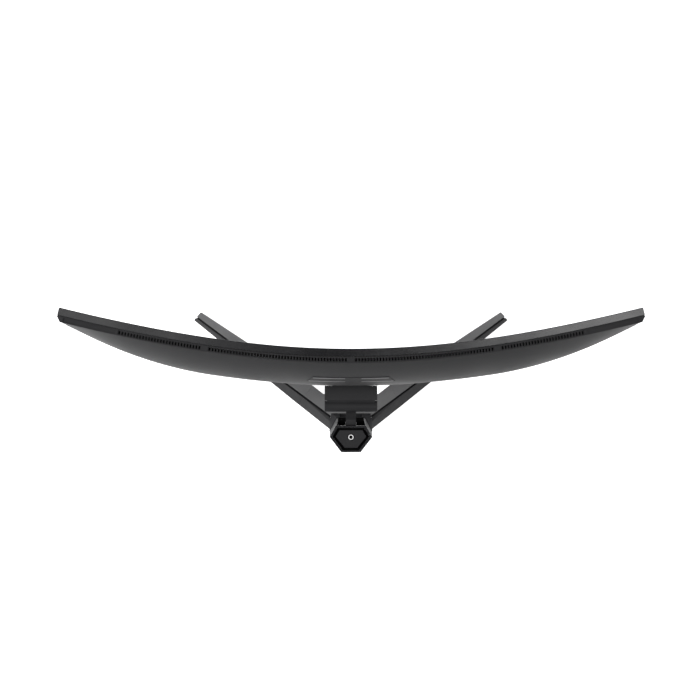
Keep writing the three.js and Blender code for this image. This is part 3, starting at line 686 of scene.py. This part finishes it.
# ---------------------------------------------------------------- CAD nodes that stay
def dress_node(node, slot, width):
    """Welds and rounds a CAD node with modifiers and gives it its material."""
    made = frame["nodes"][node]
    made.data.materials.clear()
    made.data.materials.append(SPECIAL.get(node) or MATERIALS[slot])
    made.data.shade_smooth()
    weld = made.modifiers.new("weld", "WELD")
    weld.merge_threshold = 1e-5
    flat = made.modifiers.new("flat", "DECIMATE")
    flat.decimate_type = "DISSOLVE"
    flat.angle_limit = math.radians(1.0)
    if width:
        bevel = made.modifiers.new("bevel", "BEVEL")
        bevel.width = width * MM
        bevel.segments = 2
        bevel.limit_method = "ANGLE"
        bevel.angle_limit = math.radians(32)
        bevel.use_clamp_overlap = True
        bevel.harden_normals = False
    normals = made.modifiers.new("normals", "WEIGHTED_NORMAL")
    normals.keep_sharp = True


# The tripod insert is matt black as painted shade for its bore.
SPECIAL = {"tripod_insert": MATT_BLACK, "tilt_bracket": BRACKET_STEEL, "swivel_bearing": MATT_BLACK}
# Width of the rounded edges, in millimetres. A node that isn't named keeps its sharp edges.
ROUNDING = {
    "leg_left": 0.7, "leg_right": 0.7, "leg_trim_left": 0.5, "leg_trim_right": 0.5, "base_hub": 0.6,
    "hinge_cover": 0.8, "stand_plate": 0.7, "column_shell": 0.9, "column_cap": 0.6, "cap_plate": 0.3,
    "column_foot": 0.6, "control_panel": 0.3, "lift_arm": 0.4, "lower_bezel": 0.3,
    "menu_button_up": 0.35, "menu_button_down": 0.35, "menu_button_back": 0.35, "power_button": 0.35,
    "socket_tray_signal": 0.3, "socket_tray_power": 0.3, "joystick_cap": 0.6, "tilt_bracket": 0.2,
    "foot_left": 0.3, "foot_right": 0.3, "foot_rear": 0.3, "tripod_insert": 0.15, "mains_inlet": 0.2,
}


def dress_all():
    for entry in frame["record"]["subparts"]:
        node = entry["node"]
        dress_node(node, entry["material_slot"], ROUNDING.get(node, 0.0))


# ---------------------------------------------------------------- screws of the stand plate
SCREW_RADIUS = 4.2
SCREW_HEIGHT = 2.6


def screw_head(name, centre):
    """A pan head with a cross recess, its axis pointing straight back."""
    bm = bmesh.new()
    bmesh.ops.create_cone(bm, cap_ends=True, segments=28, radius1=SCREW_RADIUS, radius2=SCREW_RADIUS,
                          depth=SCREW_HEIGHT)
    round_edges(bm, SCREW_HEIGHT * 0.45, 3)
    head = to_object(name, bm)
    arm, half = SCREW_RADIUS * 0.62, SCREW_RADIUS * 0.13
    for a, b in ((arm, half), (half, arm)):
        cutter = bmesh.new()
        block(cutter, -a, a, -b, b, SCREW_HEIGHT * 0.02, SCREW_HEIGHT)
        boolean_cut(head, to_object(name + "_slot", cutter))
    turn = Vector((0, 1, 0)).to_track_quat("Z", "Y").to_matrix().to_4x4()
    head.data.transform(Matrix.Translation(Vector(centre) * MM) @ turn)
    add_piece(head, "display", "machined_steel")


def plate_screws():
    for i, (x, z) in enumerate(((-50, 290), (50, 290), (50, 390), (-50, 390))):
        screw_head(f"stand_plate_screw_{i + 1}", (x, 9.6, z))


# ---------------------------------------------------------------- stage, light and camera
# Radius and height of the floor's rings, in metres.
FLOOR_PROFILE = ((3.0, 0.0), (7.0, 0.0), (8.0, 0.08), (8.8, 0.4), (9.4, 1.0), (9.8, 2.0), (10.0, 3.2))


def floor():
    """A round pale floor that curves up into a low wall."""
    bm = bmesh.new()
    rings = [circle(bm, radius, height, 96) for radius, height in FLOOR_PROFILE]
    bm.faces.new(rings[0])
    for a, b in zip(rings, rings[1:]):
        stitch(bm, a, b)
    made = to_object("studio_floor", bm, scaled=False)
    made.data.shade_smooth()
    mat = bpy.data.materials.new("studio_floor")
    mat.use_nodes = True
    shader = mat.node_tree.nodes["Principled BSDF"]
    shader.inputs["Base Color"].default_value = (0.80, 0.80, 0.80, 1)
    shader.inputs["Roughness"].default_value = 0.9
    shader.inputs["Emission Color"].default_value = (1, 1, 1, 1)
    shader.inputs["Emission Strength"].default_value = 0.86
    made.data.materials.append(mat)


def lamp(name, position, target, size, watts):
    data = bpy.data.lights.new(name, "AREA")
    data.shape = "RECTANGLE"
    data.size, data.size_y = size
    data.energy = watts
    made = bpy.data.objects.new(name, data)
    made.location = position
    aim = Vector(target) - Vector(position)
    made.rotation_euler = aim.to_track_quat("-Z", "Y").to_euler()
    bpy.context.scene.collection.objects.link(made)


def studio():
    floor()
    world = bpy.data.worlds.new("studio")
    bpy.context.scene.world = world
    world.use_nodes = True
    background = world.node_tree.nodes["Background"]
    background.inputs["Color"].default_value = (0.8, 0.8, 0.8, 1)
    background.inputs["Strength"].default_value = 0.05
    lamp("soft_left", (2.9, 0.1, 2.0), (0.1, 0, 0.2), (2.0, 2.4), 175)
    lamp("soft_upper_left", (1.15, -0.25, 3.2), (0.1, 0, 0.2), (0.6, 1.6), 9)
    lamp("soft_right", (-1.15, -0.25, 3.1), (-0.1, 0, 0.2), (0.7, 1.6), 26)
    lamp("soft_low_right", (-2.6, 0.2, 1.8), (-0.1, 0, 0.2), (1.6, 1.6), 30)
    scene = bpy.context.scene
    scene.view_settings.view_transform = "Standard"
    scene.view_settings.look = "None"


def camera():
    data = bpy.data.cameras.new("camera")
    data.lens = 90.0
    data.sensor_width = 36.0
    data.clip_start, data.clip_end = 0.05, 60.0
    made = bpy.data.objects.new("camera", data)
    made.location = (0.0014, 0.018, 2.939)
    tilt = math.radians(88.7)
    aim = Vector((0, -math.cos(tilt), -math.sin(tilt)))
    made.rotation_mode = "QUATERNION"
    made.rotation_quaternion = aim.to_track_quat("-Z", "Y")
    bpy.context.scene.collection.objects.link(made)
    bpy.context.scene.camera = made


dress_all()
rear_cover()
middle_frame()
inner_lip()
screen()
emblem()
seam_filler()
vent_grille()
cap_plate()
cap_groove()
column_front()
tripod_rings()
for side, label in SIDES:
    leg_pieces(side, label)
hub_pieces()
rear_foot()
plate_screws()
studio()
camera()
